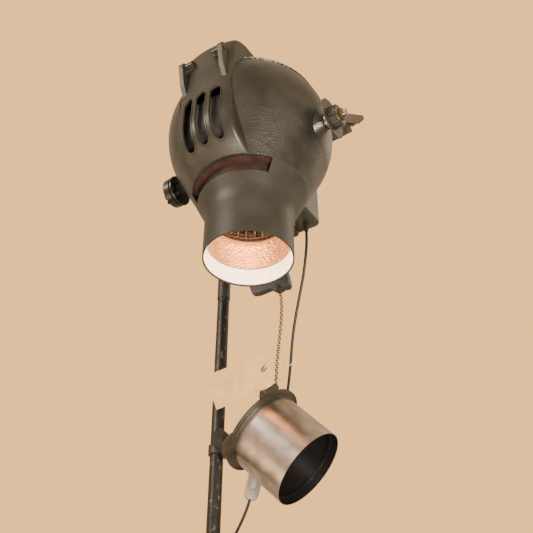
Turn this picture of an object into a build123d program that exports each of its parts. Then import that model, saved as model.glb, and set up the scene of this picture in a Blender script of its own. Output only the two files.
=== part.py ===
from build123d import *
import math
import os

os.makedirs("parts", exist_ok=True)

# ---------------------------------------------------------------- driving dimensions, millimetres
COLUMN_R = 11.0  # plain round column, its lower end is the part's mount
COLUMN_WALL = 2.0
SPIGOT_R = 10.0  # lower end, turned down to fit the stand
SPIGOT_LEN = 60.0
MOUTH_Z = 680.0  # height of the snout's mouth above the column's lower end
HEAD_X = 181.0  # optical axis of the head, from the column's axis
HEAD_Y = -184.0

SNOUT_R = 70.0  # outside radius of the snout
SHEET = 2.5  # wall of the spun shells
CYL_TOP = 80.0  # end of the snout's straight part, above the mouth
SEAM_Z = 131.0  # joint between the lower cone and the upper housing
SEAM_R = 94.0
BALL_R = 141.0  # upper housing is part of a ball
BALL_Z = 256.0
BALL_LOW_Z = 200.0  # where the cone meets the ball
CAP_Z = 338.0  # rim of the upper housing, closed by the top cap
CAP_GAP = 0.3

PIVOT_Z = 221.0  # tilt axis, along X
BOSS_END = 146.5
LIP_IN = 155.0  # bow's cheek plates stand between here and LIP_OUT
LIP_OUT = 157.4
STUD_R = 6.0
RUNNING = 0.06  # radial clearance of the bow on its pivot studs
BOW_ANGLE = 42.5  # the bow leans back and up by this much
PLATE = 2.4  # thickness of the bow's pressed sheet
WEB_N = 11.0  # the bow's web stands this far above the plane of the pivots
LIP_N = -4.0  # the bow's turned edges reach down to here

ARM_Y = 184.0  # arm's axis, measured from the optical axis
ARM_Z = 400.0
ARM_R = 9.0

HOOD_HALF = 52.0
HOOD_R = 141.5
SLOT_PITCH = 26.3
SLOT_WIDTH = 18.0
SLOT_LOW = 143.0
SLOT_HIGH = 243.0

TUBE_R = 67.5  # accessory light tube that hangs beside the column
TUBE_WALL = 1.2
TUBE_LEN = 106.0
FLANGE_R = 78.5
FLANGE_T = 2.5
TUBE_CENTRE = (-120.2, 225.5, -158.8)  # flange centre, from the mouth's centre
TUBE_AXIS = (0.676, 0.212, -0.706)

CORD_R = 2.5

# ---------------------------------------------------------------- frames
HEAD = Vector(HEAD_X, HEAD_Y, MOUTH_Z)
X_AXIS = Vector(1, 0, 0)


def at(x, y, z):
    """A point given from the centre of the snout's mouth."""
    return Vector(HEAD_X + x, HEAD_Y + y, MOUTH_Z + z)


head_plane = Plane(origin=HEAD)
front_plane = Plane(origin=HEAD, x_dir=(1, 0, 0), z_dir=(0, -1, 0))  # local x, y are the head's X, Z
side_plane = Plane(origin=HEAD, x_dir=(0, 1, 0), z_dir=(1, 0, 0))  # local x, y are the head's Y, Z
head_axis = Axis(HEAD, (0, 0, 1))
pivot = at(0, 0, PIVOT_Z)
pivot_plane = Plane(origin=pivot, x_dir=(0, 1, 0), z_dir=(1, 0, 0))
lean = math.radians(BOW_ANGLE)
bow_plane = Plane(
    origin=pivot, x_dir=(1, 0, 0), z_dir=(0, -math.sin(lean), math.cos(lean))
)  # local x is X, y runs up the bow, z is square to it
cheek_plane = Plane(
    origin=pivot, x_dir=(0, math.cos(lean), math.sin(lean)), z_dir=(1, 0, 0)
)  # local x runs up the bow, y is square to it

# ---------------------------------------------------------------- column
with BuildPart() as column_tube:
    with BuildSketch():
        Circle(SPIGOT_R)
    extrude(amount=SPIGOT_LEN)
    with BuildSketch(Plane.XY.offset(SPIGOT_LEN)):
        Circle(COLUMN_R)
    extrude(amount=MOUTH_Z + ARM_Z + 6 - SPIGOT_LEN)
    with BuildSketch():
        Circle(COLUMN_R - COLUMN_WALL - 1)
    extrude(amount=MOUTH_Z + ARM_Z + 6, mode=Mode.SUBTRACT)
column_tube.part.label = "column_tube"
export_step(column_tube.part, "parts/column_tube.step")

SLEEVE_LOW = MOUTH_Z + 101
SLEEVE_LEN = 85.0
SLEEVE_R = 12.0
COLLAR_R = 17.0
COLLAR_LEN = 26.0
COLLAR_LOW = SLEEVE_LOW + SLEEVE_LEN - COLLAR_LEN
THUMB_Z = COLLAR_LOW + COLLAR_LEN / 2
THUMB_R = 2.5
with BuildPart() as column_sleeve:
    with BuildSketch(Plane.XY.offset(SLEEVE_LOW)):
        Circle(SLEEVE_R)
        Circle(COLUMN_R, mode=Mode.SUBTRACT)
    extrude(amount=SLEEVE_LEN)
    with BuildSketch(Plane.XY.offset(COLLAR_LOW)):
        Circle(COLLAR_R)
        Circle(COLUMN_R, mode=Mode.SUBTRACT)
    extrude(amount=COLLAR_LEN)
    with BuildSketch(Plane.XZ):
        with Locations((0, THUMB_Z)):
            Circle(THUMB_R)
    extrude(amount=-20, mode=Mode.SUBTRACT)
column_sleeve.part.label = "column_sleeve"
export_step(column_sleeve.part, "parts/column_sleeve.step")

# bracket that hangs the accessory's chain: a beam from the collar, down to a block with a boss
BRACKET_Y = 184.0
BRACKET_DEEP = 12.0
HOOK_X = -56.0
HOOK_Z = 80.0
bracket_plane = Plane(origin=at(0, BRACKET_Y, 0), x_dir=(1, 0, 0), z_dir=(0, -1, 0))
with BuildPart() as hanger_bracket:
    with BuildSketch(bracket_plane):
        with BuildLine():
            Polyline(
                (-167, 178), (-167, 158), (-124, 152), (-118, 101), (-113, 86), (-99, 83), (-75, 84),
                (-66, 76.5), (-37, 73), (-34.5, 78), (-36, 91), (-42, 118), (-62, 150), (-100, 172),
                (-167, 178),
            )
        make_face()
    extrude(amount=BRACKET_DEEP / 2, both=True)
    fillet(hanger_bracket.edges().filter_by(Axis.Y).sort_by(Axis.Z)[:4], 1.2)
    with BuildSketch(bracket_plane.offset(-BRACKET_DEEP / 2 - 1)):
        with Locations((HOOK_X - 5, HOOK_Z + 1)):
            Circle(7)
    extrude(amount=BRACKET_DEEP + 2)
    with BuildSketch(bracket_plane.offset(-BRACKET_DEEP)):
        with Locations((HOOK_X, HOOK_Z)):
            Circle(2.6)
    extrude(amount=2 * BRACKET_DEEP, mode=Mode.SUBTRACT)
    with BuildSketch(Plane.XY.offset(COLLAR_LOW - 20)):
        Circle(SLEEVE_R)
    extrude(amount=COLLAR_LEN + 40, mode=Mode.SUBTRACT)
    with BuildSketch(Plane.XY.offset(COLLAR_LOW)):
        Circle(COLLAR_R)
    extrude(amount=COLLAR_LEN, mode=Mode.SUBTRACT)
hanger_bracket.part.label = "hanger_bracket"
export_step(hanger_bracket.part, "parts/hanger_bracket.step")

# elbow casting on top of the column, and the arm that carries the bow
with BuildPart() as column_elbow:
    with BuildSketch(Plane.XY.offset(MOUTH_Z + ARM_Z - 32)):
        Circle(16)
    extrude(amount=50)
    with BuildSketch(Plane.YZ):
        with Locations((HEAD_Y + ARM_Y, MOUTH_Z + ARM_Z)):
            Circle(14)
    extrude(amount=36)
    fillet(column_elbow.edges().filter_by(GeomType.CIRCLE).group_by(Axis.Z)[-1], 6)
    with BuildSketch(Plane.XY.offset(MOUTH_Z + ARM_Z - 40)):
        Circle(COLUMN_R)
    extrude(amount=46, mode=Mode.SUBTRACT)
    with BuildSketch(Plane.YZ.offset(13)):
        with Locations((HEAD_Y + ARM_Y, MOUTH_Z + ARM_Z)):
            Circle(ARM_R)
    extrude(amount=30, mode=Mode.SUBTRACT)
column_elbow.part.label = "column_elbow"
export_step(column_elbow.part, "parts/column_elbow.step")

ARM_END = HEAD_X + 26
with BuildPart() as arm_tube:
    with BuildSketch(Plane.YZ.offset(13)):
        with Locations((HEAD_Y + ARM_Y, MOUTH_Z + ARM_Z)):
            Circle(ARM_R)
            Circle(ARM_R - 2, mode=Mode.SUBTRACT)
    extrude(amount=ARM_END - 13)
arm_tube.part.label = "arm_tube"
export_step(arm_tube.part, "parts/arm_tube.step")

with BuildPart() as arm_end_cap:
    with BuildSketch(Plane.YZ.offset(ARM_END)):
        with Locations((HEAD_Y + ARM_Y, MOUTH_Z + ARM_Z)):
            Circle(ARM_R)
    extrude(amount=4)
    fillet(arm_end_cap.edges().group_by(Axis.X)[-1], 2.5)
arm_end_cap.part.label = "arm_end_cap"
export_step(arm_end_cap.part, "parts/arm_end_cap.step")

# ---------------------------------------------------------------- bow
BOW_CORNER = 200.0
BOW_CROWN = 238.0
ARM_IN = 143.5
CROWN_IN = 211.0
CORNER_IN = 180.0
WEB_START = 32.0


def bow_outline(inset):
    """Outline of the bow's web, moved in from its edge by inset."""
    outer = LIP_OUT - inset
    inner = ARM_IN + inset
    with BuildLine() as outline:
        Line((-outer, WEB_START + inset), (-outer, BOW_CORNER - inset))
        ThreePointArc((-outer, BOW_CORNER - inset), (0, BOW_CROWN - inset), (outer, BOW_CORNER - inset))
        Line((outer, BOW_CORNER - inset), (outer, WEB_START + inset))
        Line((outer, WEB_START + inset), (inner, WEB_START + inset))
        Line((inner, WEB_START + inset), (inner, CORNER_IN + inset))
        ThreePointArc((inner, CORNER_IN + inset), (0, CROWN_IN + inset), (-inner, CORNER_IN + inset))
        Line((-inner, CORNER_IN + inset), (-inner, WEB_START + inset))
        Line((-inner, WEB_START + inset), (-outer, WEB_START + inset))
    return outline.edges()


BOLT_X = 12.0
BOLT_B = 224.0
with BuildPart() as bow:
    with BuildSketch(bow_plane.offset(LIP_N)):
        make_face(bow_outline(0))
    extrude(amount=WEB_N + PLATE - LIP_N)
    with BuildSketch(bow_plane.offset(LIP_N - 1)):
        make_face(bow_outline(PLATE))
    extrude(amount=WEB_N - LIP_N + 1, mode=Mode.SUBTRACT)
    # cheeks: round eyes on the pivots that run into the turned edges
    for x in (LIP_IN, -LIP_OUT):
        with BuildSketch(cheek_plane.offset(x)):
            Circle(24)
            with Locations((52, (WEB_N + PLATE + LIP_N) / 2)):
                Rectangle(24, WEB_N + PLATE - LIP_N)
            make_hull()
        extrude(amount=LIP_OUT - LIP_IN)
    with BuildSketch(cheek_plane.offset(-LIP_OUT - 1)):
        Circle(STUD_R + RUNNING)
    extrude(amount=2 * LIP_OUT + 2, mode=Mode.SUBTRACT)
    # the turned edges run out towards the corners
    with BuildSketch(cheek_plane.offset(-LIP_OUT - 5)):
        with BuildLine():
            Polyline((150, LIP_N - 1), (215, LIP_N - 1), (215, WEB_N - 2), (150, LIP_N - 1))
        make_face()
    extrude(amount=60, mode=Mode.SUBTRACT)
    with BuildSketch(cheek_plane.offset(LIP_OUT + 5)):
        with BuildLine():
            Polyline((150, LIP_N - 1), (215, LIP_N - 1), (215, WEB_N - 2), (150, LIP_N - 1))
        make_face()
    extrude(amount=-60, mode=Mode.SUBTRACT)
    with BuildSketch(bow_plane.offset(WEB_N - 1)):
        with Locations((-BOLT_X, BOLT_B), (BOLT_X, BOLT_B)):
            Circle(4.2)
    extrude(amount=PLATE + 2, mode=Mode.SUBTRACT)
bow.part.label = "bow"
export_step(bow.part, "parts/bow.step")

# hub that clamps the bow's crown to the arm
PAD = 8.0
arm_b = ARM_Y * math.cos(lean) + (ARM_Z - PIVOT_Z) * math.sin(lean)
arm_n = -ARM_Y * math.sin(lean) + (ARM_Z - PIVOT_Z) * math.cos(lean)
with BuildPart() as bow_hub:
    with BuildSketch(cheek_plane.offset(-22)):
        with Locations((arm_b, arm_n)):
            Circle(15)
        with Locations(((212 + arm_b) / 2, WEB_N + PLATE + PAD / 2)):
            Rectangle(arm_b - 212, PAD)
        with Locations((arm_b, arm_n)):
            Circle(ARM_R, mode=Mode.SUBTRACT)
    extrude(amount=44)
    with BuildSketch(bow_plane.offset(WEB_N)):
        with Locations((-BOLT_X, BOLT_B), (BOLT_X, BOLT_B)):
            Circle(4.2)
    extrude(amount=PAD + 20, mode=Mode.SUBTRACT)
bow_hub.part.label = "bow_hub"
export_step(bow_hub.part, "parts/bow_hub.step")

NUT_H = 6.5
with BuildPart() as bow_bolts:
    with BuildSketch(bow_plane.offset(WEB_N - NUT_H - 2)):
        with Locations((-BOLT_X, BOLT_B), (BOLT_X, BOLT_B)):
            Circle(4)
    extrude(amount=NUT_H + 2 + PLATE + PAD)
    with BuildSketch(bow_plane.offset(WEB_N + PLATE + PAD)):
        with Locations((-BOLT_X, BOLT_B), (BOLT_X, BOLT_B)):
            RegularPolygon(7.5, 6)
    extrude(amount=5.5)
    with BuildSketch(bow_plane.offset(WEB_N - NUT_H)):
        with Locations((-BOLT_X, BOLT_B), (BOLT_X, BOLT_B)):
            RegularPolygon(7.5, 6)
    extrude(amount=NUT_H)
bow_bolts.part.label = "bow_bolts"
export_step(bow_bolts.part, "parts/bow_bolts.step")

DISC_T = 1.6
with BuildPart() as friction_disc:
    with BuildSketch(pivot_plane.offset(LIP_OUT)):
        Circle(34.8)
        Circle(STUD_R + RUNNING, mode=Mode.SUBTRACT)
    extrude(amount=DISC_T)
friction_disc.part.label = "friction_disc"
export_step(friction_disc.part, "parts/friction_disc.step")

# ---------------------------------------------------------------- lamp head shells
ball_angle = math.degrees(math.asin((BALL_LOW_Z - BALL_Z) / BALL_R))
rim_angle = math.degrees(math.asin((CAP_Z - BALL_Z) / BALL_R))


def ball_point(radius, angle):
    """Point on the ball's outline at an angle above its equator."""
    return (
        radius * math.cos(math.radians(angle)),
        BALL_Z + radius * math.sin(math.radians(angle)),
    )


def housing_profile(inset, top_angle, low_z=SEAM_Z):
    """Solid outline of the head above low_z, moved in by inset, from the axis out."""
    low = (SEAM_R - 1.1 * inset, low_z)
    with BuildLine() as outline:
        Polyline((0, low_z), low, ball_point(BALL_R - inset, ball_angle))
        arc = CenterArc((0, BALL_Z), BALL_R - inset, ball_angle, top_angle - ball_angle)
        Polyline(arc @ 1, (0, (arc @ 1).Y), (0, low_z))
    return outline.edges()


with BuildPart() as upper_housing:
    with BuildSketch(front_plane):
        make_face(housing_profile(0, rim_angle))
    revolve(axis=head_axis)
    for sign in (-1, 1):
        with BuildSketch(pivot_plane.offset(sign * 124)):
            Circle(25)
        with BuildSketch(pivot_plane.offset(sign * BOSS_END)):
            Circle(13.5)
        loft()
    with BuildSketch(front_plane):
        make_face(housing_profile(SHEET + 0.5, 60))
    revolve(axis=head_axis, mode=Mode.SUBTRACT)
    for sign in (-1, 1):
        with BuildSketch(pivot_plane.offset(sign * 120)):
            Circle(15)
        extrude(amount=sign * 20)
    # opening that the hood closes
    with BuildSketch(front_plane.offset(60)):
        with Locations((0, (SEAM_Z + 9 + CAP_Z - 12) / 2)):
            Rectangle(2 * HOOD_HALF + 0.2, CAP_Z - 12 - SEAM_Z - 9)
    extrude(amount=100, mode=Mode.SUBTRACT)
    # cable hole into the rear box, and pivot bores
    with BuildSketch(front_plane.offset(-60)):
        with Locations((0, 250)):
            Circle(12)
    extrude(amount=-100, mode=Mode.SUBTRACT)
    with BuildSketch(pivot_plane.offset(-BOSS_END - 1)):
        Circle(STUD_R)
    extrude(amount=2 * BOSS_END + 2, mode=Mode.SUBTRACT)
upper_housing.part.label = "upper_housing"
export_step(upper_housing.part, "parts/upper_housing.step")

CAP_R = BALL_R + CAP_GAP + 2.2
cap_low_angle = math.degrees(math.asin((CAP_Z - 8 - BALL_Z) / BALL_R))
with BuildPart() as top_cap:
    with BuildSketch(front_plane):
        with BuildLine():
            outer = CenterArc((0, BALL_Z), CAP_R, cap_low_angle, 90 - cap_low_angle)
            inner = CenterArc((0, BALL_Z), BALL_R + CAP_GAP, cap_low_angle, 90 - cap_low_angle)
            Line(outer @ 0, inner @ 0)
            Line(outer @ 1, inner @ 1)
        make_face()
    revolve(axis=head_axis)
    with BuildSketch(Plane(origin=at(0, 0, CAP_Z))):
        Circle(113.4)
        Circle(104, mode=Mode.SUBTRACT)
    extrude(amount=3.2)
top_cap.part.label = "top_cap"
export_step(top_cap.part, "parts/top_cap.step")

# lower shell: snout and cone in one spinning, with the crescent opening under the seam
CRESCENT_LOW = 108.0
CRESCENT_HALF = 54.0
CREASE_LOW = 66.6  # the snout turns into the cone over this height
CREASE_HIGH = 92.1
CREASE_R = 75.7
inner_crease = (CREASE_R - SHEET, CREASE_HIGH + 1.2)
crescent_angle = math.radians(CRESCENT_HALF)
right_end = (160 * math.sin(crescent_angle), -160 * math.cos(crescent_angle))
left_end = (-right_end[0], right_end[1])
with BuildPart() as snout_shell:
    with BuildSketch(front_plane):
        with BuildLine():
            Polyline((SNOUT_R, 0), (SNOUT_R, CREASE_LOW))
            outside = TangentArc((SNOUT_R, CREASE_LOW), (CREASE_R, CREASE_HIGH), tangent=(0, 1))
            Polyline(outside @ 1, (SEAM_R, SEAM_Z), (SEAM_R - SHEET - 0.3, SEAM_Z), inner_crease)
            inside = TangentArc((SNOUT_R - SHEET, CREASE_LOW), inner_crease, tangent=(0, 1))
            Polyline(inside @ 0, (SNOUT_R - SHEET, 0), (SNOUT_R, 0))
        make_face()
    revolve(axis=head_axis)
    with BuildSketch(Plane(origin=at(0, 0, CRESCENT_LOW))):
        with BuildLine():
            Polyline(left_end, (0, 0), right_end)
            ThreePointArc(right_end, (0, -160), left_end)
        make_face()
    extrude(amount=40, taper=-8, mode=Mode.SUBTRACT)
    # bayonet slot in the mouth's edge, on the right
    with BuildSketch(Plane(origin=at(0, 0, 44), x_dir=(0.93, 0.37, 0), z_dir=(0.37, -0.93, 0))):
        with Locations((0, 0)):
            SlotOverall(13, 2.6, rotation=62)
snout_shell.part.label = "snout_shell"
export_step(snout_shell.part, "parts/snout_shell.step")

# ---------------------------------------------------------------- hood with its vent slots and lugs
HOOD_SHEET = 2.6
HOOD_EDGE = 8.0  # rounding of the hood's long edges


def hood_solid(inset, half):
    """Solid under the hood's outside surface, moved in by inset, as wide as half on each side."""
    radius = HOOD_R - inset
    low = SEAM_Z + inset
    high = 386 - inset
    with BuildPart() as block:
        with BuildSketch(side_plane):
            with BuildLine():
                Line((radius, 340), (radius, 192))
                Bezier((radius, 192), (radius, 160), (126 - inset, 143 + inset), (96 - inset, low))
                Line((96 - inset, low), (40, low))
                Polyline((40, low), (40, high + 5), (HOOD_R - 45, high))
                RadiusArc((HOOD_R - 45, high), (radius, 340), 46 - inset)
            make_face()
        revolve(axis=head_axis)
        with BuildSketch(head_plane):
            with Locations((0, -110)):
                Rectangle(2 * half, 120)
        extrude(amount=420, mode=Mode.INTERSECT)
        sides = block.edges().filter_by(lambda e: abs(abs(e.center().X - HEAD_X) - half) < 0.1)
        fillet(sides.filter_by(lambda e: e.center().Y < HEAD_Y - 75), max(HOOD_EDGE - inset, 2))
    return block.part


def slot_rows():
    """Centres of the vent slots on the front of the hood."""
    middle = (SLOT_LOW + SLOT_HIGH) / 2
    return Locations((-SLOT_PITCH, middle), (0, middle), (SLOT_PITCH, middle))


SLOT_LIP = 1.6
hood_outside = hood_solid(0, HOOD_HALF)
with BuildPart() as hood_cover:
    add(hood_solid(-1.0, HOOD_HALF))
    with BuildSketch(front_plane.offset(60)):
        with slot_rows():
            SlotOverall(SLOT_HIGH - SLOT_LOW + 2 * SLOT_LIP, SLOT_WIDTH + 2 * SLOT_LIP, rotation=90)
    extrude(amount=100, mode=Mode.INTERSECT)
    add(hood_outside)
    add(hood_solid(HOOD_SHEET, HOOD_HALF - HOOD_SHEET), mode=Mode.SUBTRACT)
    with BuildSketch(front_plane.offset(60)):
        with slot_rows():
            SlotOverall(SLOT_HIGH - SLOT_LOW, SLOT_WIDTH, rotation=90)
    extrude(amount=100, mode=Mode.SUBTRACT)
    # the cheeks end just under the ball's skin, and over the cap they stand on it
    with BuildSketch(side_plane):
        with BuildLine():
            Polyline((0, 60), (0, BALL_Z + BALL_R - 12))
            CenterArc((0, BALL_Z), BALL_R - 12, 90, -90)
            Polyline((BALL_R - 12, BALL_Z), (BALL_R - 12, 205), (SEAM_R - 4, SEAM_Z + 9))
            Polyline((SEAM_R - 4, SEAM_Z + 9), (SEAM_R - 4, 60), (0, 60))
        make_face()
    revolve(axis=head_axis, mode=Mode.SUBTRACT)
    with BuildSketch(side_plane):
        with BuildLine():
            Polyline((0, CAP_Z - 9), (0, BALL_Z + CAP_R + 0.1))
            cap_clear = CenterArc((0, BALL_Z), CAP_R + 0.1, 90, cap_low_angle - 90.5)
            Polyline(cap_clear @ 1, (100, CAP_Z - 9), (0, CAP_Z - 9))
        make_face()
    revolve(axis=head_axis, mode=Mode.SUBTRACT)
    # below the opening the hood stands on the cone
    with BuildSketch(front_plane):
        with BuildLine():
            Polyline((0, 60), (0, SEAM_Z + 9), (SEAM_R + 4.3, SEAM_Z + 9), (SEAM_R, SEAM_Z))
            Polyline((SEAM_R, SEAM_Z), (SEAM_R, 60), (0, 60))
        make_face()
    revolve(axis=head_axis, mode=Mode.SUBTRACT)
hood_cover.part.label = "hood_cover"
export_step(hood_cover.part, "parts/hood_cover.step")

# two rounded lugs on the hood's shoulder, each with a round stud on its inner face
LUG_X = 39.5
LUG_T = 8.0
with BuildPart() as hood_lugs:
    for x in (-LUG_X - LUG_T / 2, LUG_X - LUG_T / 2):
        with BuildSketch(side_plane.offset(x)):
            with Locations((-143, 326)):
                Circle(11)
            with Locations((-140, 287)):
                Circle(6)
            with Locations((-133, 266)):
                Circle(3)
            make_hull()
        extrude(amount=LUG_T)
    for x in (-LUG_X + LUG_T / 2, LUG_X - LUG_T / 2 - 15):
        with BuildSketch(side_plane.offset(x)):
            with Locations((-140, 328)):
                Circle(9.5)
        extrude(amount=15)
    with BuildSketch(side_plane.offset(-LUG_X - 10)):
        with Locations((-146, 322)):
            Circle(3.4)
    extrude(amount=2 * LUG_X + 20, mode=Mode.SUBTRACT)
    add(hood_outside, mode=Mode.SUBTRACT)
hood_lugs.part.label = "hood_lugs"
export_step(hood_lugs.part, "parts/hood_lugs.step")

# dark sheet behind the vent slots, held between the hood's cheeks
BAFFLE_GAP = 11.0
BAFFLE_LOW = 150.0
BAFFLE_HIGH = 236.0
with BuildPart() as vent_baffle:
    add(hood_solid(BAFFLE_GAP, HOOD_HALF - HOOD_SHEET))
    add(hood_solid(BAFFLE_GAP + 1.5, HOOD_HALF), mode=Mode.SUBTRACT)
    with BuildSketch(Plane(origin=at(0, -120, BAFFLE_LOW))):
        Rectangle(2 * HOOD_HALF, 80)
    extrude(amount=BAFFLE_HIGH - BAFFLE_LOW, mode=Mode.INTERSECT)
vent_baffle.part.label = "vent_baffle"
export_step(vent_baffle.part, "parts/vent_baffle.step")

# ---------------------------------------------------------------- inside of the head


def ring_part(name, points, start=0.0, turn=360.0):
    """A ring turned from an outline given as radius and height from the mouth."""
    with BuildPart() as ring:
        with BuildSketch(front_plane):
            with BuildLine():
                Polyline(points + [points[0]])
            make_face()
        revolve(axis=head_axis, revolution_arc=turn)
    turned = ring.part.rotate(head_axis, start)
    turned.label = name
    export_step(turned, f"parts/{name}.step")
    return turned


BORE = SNOUT_R - SHEET
ring_part(
    "snout_liner", [(BORE, 2), (BORE, 31), (BORE - 1.1, 31), (BORE - 1.1, 2)], start=91.8, turn=359.1
)
ring_part(
    "reflector_sleeve",
    [(BORE, 33), (BORE, 80), (BORE - 1.2, 88), (BORE - 2.2, 88), (BORE - 1.2, 79), (BORE - 1.2, 33)],
)
ring_part(
    "carrier_ring",
    [
        (62, SEAM_Z), (77, SEAM_Z), (75, 108), (76.2, 108), (78.2, SEAM_Z), (89.6, SEAM_Z),
        (89.6, SEAM_Z + 2.5), (62, SEAM_Z + 2.5),
    ],
)
ring_part(
    "reflector_bowl",
    [
        (18.4, 297), (30, 297), (62, 282), (86, 240), (93, 190), (98, 190), (98, 188), (91.5, 188),
        (84.5, 239.5), (61, 280.6), (29.7, 295.5), (18.4, 295.5),
    ],
)

with BuildPart() as bar_cage:
    with BuildSketch(Plane(origin=at(0, 0, 90))):
        Circle(65)
        Circle(60, mode=Mode.SUBTRACT)
    extrude(amount=3)
    with BuildSketch(Plane(origin=at(0, 0, 93))):
        with PolarLocations(63, 28):
            Rectangle(1.6, 3)
    extrude(amount=SEAM_Z - 93)
bar_cage.part.label = "bar_cage"
export_step(bar_cage.part, "parts/bar_cage.step")

with BuildPart() as reflector_posts:
    with BuildSketch(Plane(origin=at(0, 0, SEAM_Z + 2.5))):
        with PolarLocations(85, 3, start_angle=30):
            Circle(3)
    extrude(amount=30)
    with BuildSketch(Plane(origin=at(0, 0, SEAM_Z + 32.5))):
        with PolarLocations(88, 3, start_angle=30):
            Rectangle(14, 8)
    extrude(amount=2)
    with BuildSketch(Plane(origin=at(0, 0, SEAM_Z + 34.5))):
        with PolarLocations(94, 3, start_angle=30):
            Rectangle(3, 8)
    extrude(amount=188 - SEAM_Z - 34.5)
reflector_posts.part.label = "reflector_posts"
export_step(reflector_posts.part, "parts/reflector_posts.step")

with BuildPart() as bulb_glass:
    with BuildSketch(side_plane):
        with BuildLine():
            Line((0, 276), (0, 213))
            bulge = CenterArc((0, 238), 25, -90, 130)
            Polyline(bulge @ 1, (12, 268), (12, 276), (0, 276))
        make_face()
    revolve(axis=head_axis)
bulb_glass.part.label = "bulb_glass"
export_step(bulb_glass.part, "parts/bulb_glass.step")

ring_part("bulb_cap", [(0, 276), (13, 276), (13, 298), (6, 303), (0, 303)])
ring_part(
    "lamp_socket",
    [
        (13, 278), (17.5, 278), (17.5, 297), (26, 297), (26, 300), (17.5, 300), (17.5, 308), (13.9, 314),
        (0, 314), (0, 303), (6, 303), (13, 298),
    ],
)

# ---------------------------------------------------------------- pivots
STUD_END = 184.0
for name, sign in (("right_stud", 1), ("left_stud", -1)):
    with BuildPart() as stud:
        with BuildSketch(pivot_plane.offset(sign * 122)):
            Circle(STUD_R)
        extrude(amount=sign * (STUD_END - 122))
        with BuildSketch(pivot_plane.offset(sign * 114)):
            RegularPolygon(11, 6)
        extrude(amount=sign * 6)
        with BuildSketch(pivot_plane.offset(sign * 119)):
            Circle(STUD_R)
        extrude(amount=sign * 4)
        if sign > 0:
            # shoulder between the boss and the bow
            with BuildSketch(pivot_plane.offset(BOSS_END)):
                Circle(11)
            extrude(amount=LIP_IN - 0.2 - BOSS_END)
    stud.part.label = name
    export_step(stud.part, f"parts/{name}.step")

with BuildPart() as left_pad:
    with BuildSketch(pivot_plane.offset(-LIP_IN + 0.2)):
        Circle(28)
        Circle(STUD_R, mode=Mode.SUBTRACT)
    extrude(amount=4)
    with BuildSketch(pivot_plane.offset(-LIP_IN + 4.2)):
        Circle(15)
        Circle(STUD_R, mode=Mode.SUBTRACT)
    extrude(amount=LIP_IN - 4.2 - BOSS_END)
    fillet(left_pad.edges().filter_by(GeomType.CIRCLE).filter_by(lambda e: e.radius > 20), 1)
left_pad.part.label = "left_pad"
export_step(left_pad.part, "parts/left_pad.step")

NUT_START = LIP_OUT + DISC_T + 0.3
with BuildPart() as ring_nut:
    with BuildSketch(pivot_plane.offset(NUT_START)):
        Circle(19)
        with PolarLocations(20, 12):
            Circle(2.4, mode=Mode.SUBTRACT)
        Circle(STUD_R, mode=Mode.SUBTRACT)
    extrude(amount=12)
ring_nut.part.label = "ring_nut"
export_step(ring_nut.part, "parts/ring_nut.step")

with BuildPart() as end_washer:
    with BuildSketch(pivot_plane.offset(NUT_START + 12)):
        Circle(17)
        Circle(STUD_R, mode=Mode.SUBTRACT)
    extrude(amount=2)
    with BuildSketch(pivot_plane.offset(NUT_START + 14)):
        RegularPolygon(10.5, 6)
        Circle(STUD_R, mode=Mode.SUBTRACT)
    extrude(amount=5)
end_washer.part.label = "end_washer"
export_step(end_washer.part, "parts/end_washer.step")

# black clamp knob with its tommy pin, turned by hand on the left stud
KNOB_R = 27.0
KNOB_T = 13.0
PIN_AT = 250.0  # direction of the pin round the knob, degrees
knob_face = -LIP_OUT - 0.3
pin_way = (0, math.cos(math.radians(PIN_AT)), math.sin(math.radians(PIN_AT)))
pin_plane = Plane(origin=pivot + X_AXIS * (knob_face - KNOB_T / 2), x_dir=X_AXIS, z_dir=pin_way)
with BuildPart() as clamp_knob:
    with BuildSketch(pivot_plane.offset(knob_face)):
        Circle(KNOB_R)
    extrude(amount=-KNOB_T)
    fillet(clamp_knob.edges().group_by(Axis.X)[0], 3)
    with BuildSketch(pivot_plane.offset(knob_face - KNOB_T)):
        Circle(10)
    extrude(amount=-4)
    with BuildSketch(pivot_plane.offset(knob_face + 1)):
        Circle(STUD_R + RUNNING)
    extrude(amount=-KNOB_T - 6, mode=Mode.SUBTRACT)
    with BuildSketch(pin_plane.offset(20)):
        Circle(2.6)
    extrude(amount=16)
clamp_knob.part.label = "clamp_knob"
export_step(clamp_knob.part, "parts/clamp_knob.step")

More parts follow.
